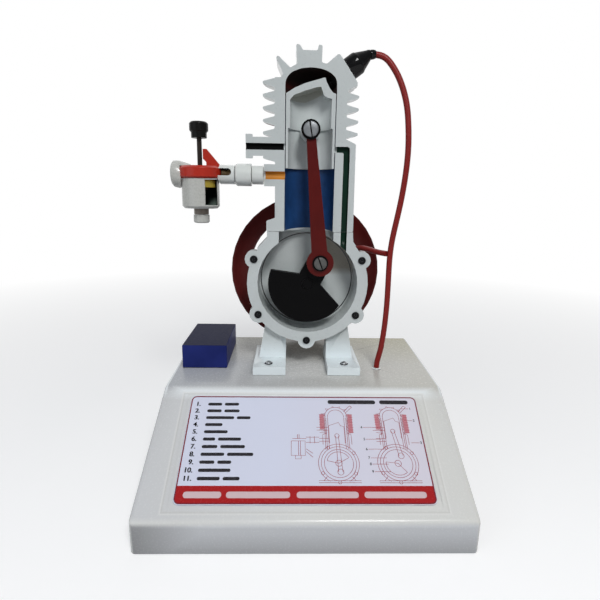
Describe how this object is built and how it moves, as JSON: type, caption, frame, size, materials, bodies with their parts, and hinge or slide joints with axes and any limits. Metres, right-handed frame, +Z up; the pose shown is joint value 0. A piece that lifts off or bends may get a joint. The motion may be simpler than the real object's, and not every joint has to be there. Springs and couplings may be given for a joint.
{
  "type": "two-stroke engine model",
  "caption": "Sectioned two-stroke engine on a sloping stand, with a piston, connecting rod, crank and flywheel that move, a carburettor, a spark plug and a lead.",
  "frame": {"origin": "centre of the stand's underside", "axes": "+Z up through the engine, +X to the right as seen from the section, -Y towards the viewer of the section"},
  "size_m": [0.2, 0.2, 0.296],
  "materials": {
    "cream_moulding": "glossy cream moulding",
    "board": "plain hardboard",
    "label": "glossy printed plate",
    "black_rubber": "smooth black rubber",
    "dark_blue": "dark blue plastic",
    "white_casting": "white enamel over a casting, with painted section faces",
    "brass": "turned brass",
    "steel": "bright turned steel",
    "black_metal": "black enamel",
    "dark_red": "dark red enamel",
    "maroon_metal": "maroon enamel",
    "black_plastic": "black moulded plastic",
    "white_plastic": "glossy white plastic",
    "bright_red": "glossy red plastic",
    "yellow_plastic": "yellow float",
    "red_lead": "red insulation"
  },
  "bodies": {
    "stand": {"stand_shell": "cream_moulding", "stand_board": "board", "board_screw_1": "steel", "board_screw_2": "steel", "board_screw_3": "steel", "board_screw_4": "steel", "label_panel": "label", "lead_grommet": "black_rubber", "battery_case": "dark_blue", "battery_cell_1": "steel", "battery_cell_2": "steel", "crankcase_body": "white_casting", "crankcase_cover": "white_casting", "main_bearing_bush": "brass", "crankcase_screw_1": "black_metal", "crankcase_screw_2": "black_metal", "crankcase_screw_3": "black_metal", "crankcase_screw_4": "black_metal", "crankcase_screw_5": "black_metal", "foot_screw_1": "steel", "foot_screw_2": "steel", "foot_screw_3": "steel", "foot_screw_4": "steel", "cylinder_block": "white_casting", "spark_plug": "steel", "spark_plug_boot": "black_rubber", "contact_block": "black_plastic", "contact_blade": "brass", "inlet_pipe": "white_plastic", "union_nut": "white_plastic", "venturi_tube": "white_plastic", "venturi_nozzle": "brass", "air_horn": "white_plastic", "carburettor_cap": "bright_red", "float_bowl": "white_plastic", "carburettor_float": "yellow_plastic", "main_jet": "brass", "drain_neck": "white_plastic", "drain_cap": "white_plastic", "ignition_lead": "red_lead", "branch_lead": "red_lead"},
    "crank": {"crankshaft": "steel", "crank_web": "black_metal", "contact_cam": "steel", "flywheel": "maroon_metal", "flywheel_washer": "steel", "flywheel_nut": "steel"},
    "piston": {"piston": "white_casting", "wrist_pin": "steel", "wrist_washer": "black_metal", "wrist_screw": "steel"},
    "rod": {"connecting_rod": "dark_red", "big_end_sleeve": "brass", "crank_pin_washer": "black_metal", "crank_pin_screw": "steel"},
    "throttle": {"throttle_knob": "black_plastic", "throttle_stem": "black_metal"}
  },
  "joints": [
    {"name": "crank_spin", "type": "hinge", "parent": "stand", "child": "crank", "pos_m": [0.0024, 0.0113, 0.1346], "axis": [0, 1, 0], "continuous": true},
    {"name": "piston_slide", "type": "slide", "parent": "stand", "child": "piston", "axis": [0, 0, 1], "range_m": [-0.035, 0.0025]},
    {"name": "rod_swing", "type": "hinge", "parent": "piston", "child": "rod", "pos_m": [0.0024, 0.0113, 0.24216], "axis": [0, 1, 0], "range_deg": [-6.4, 17.3]},
    {"name": "throttle_slide", "type": "slide", "parent": "stand", "child": "throttle", "axis": [0, 0, 1], "range_m": [-0.0065, 0]}
  ]
}
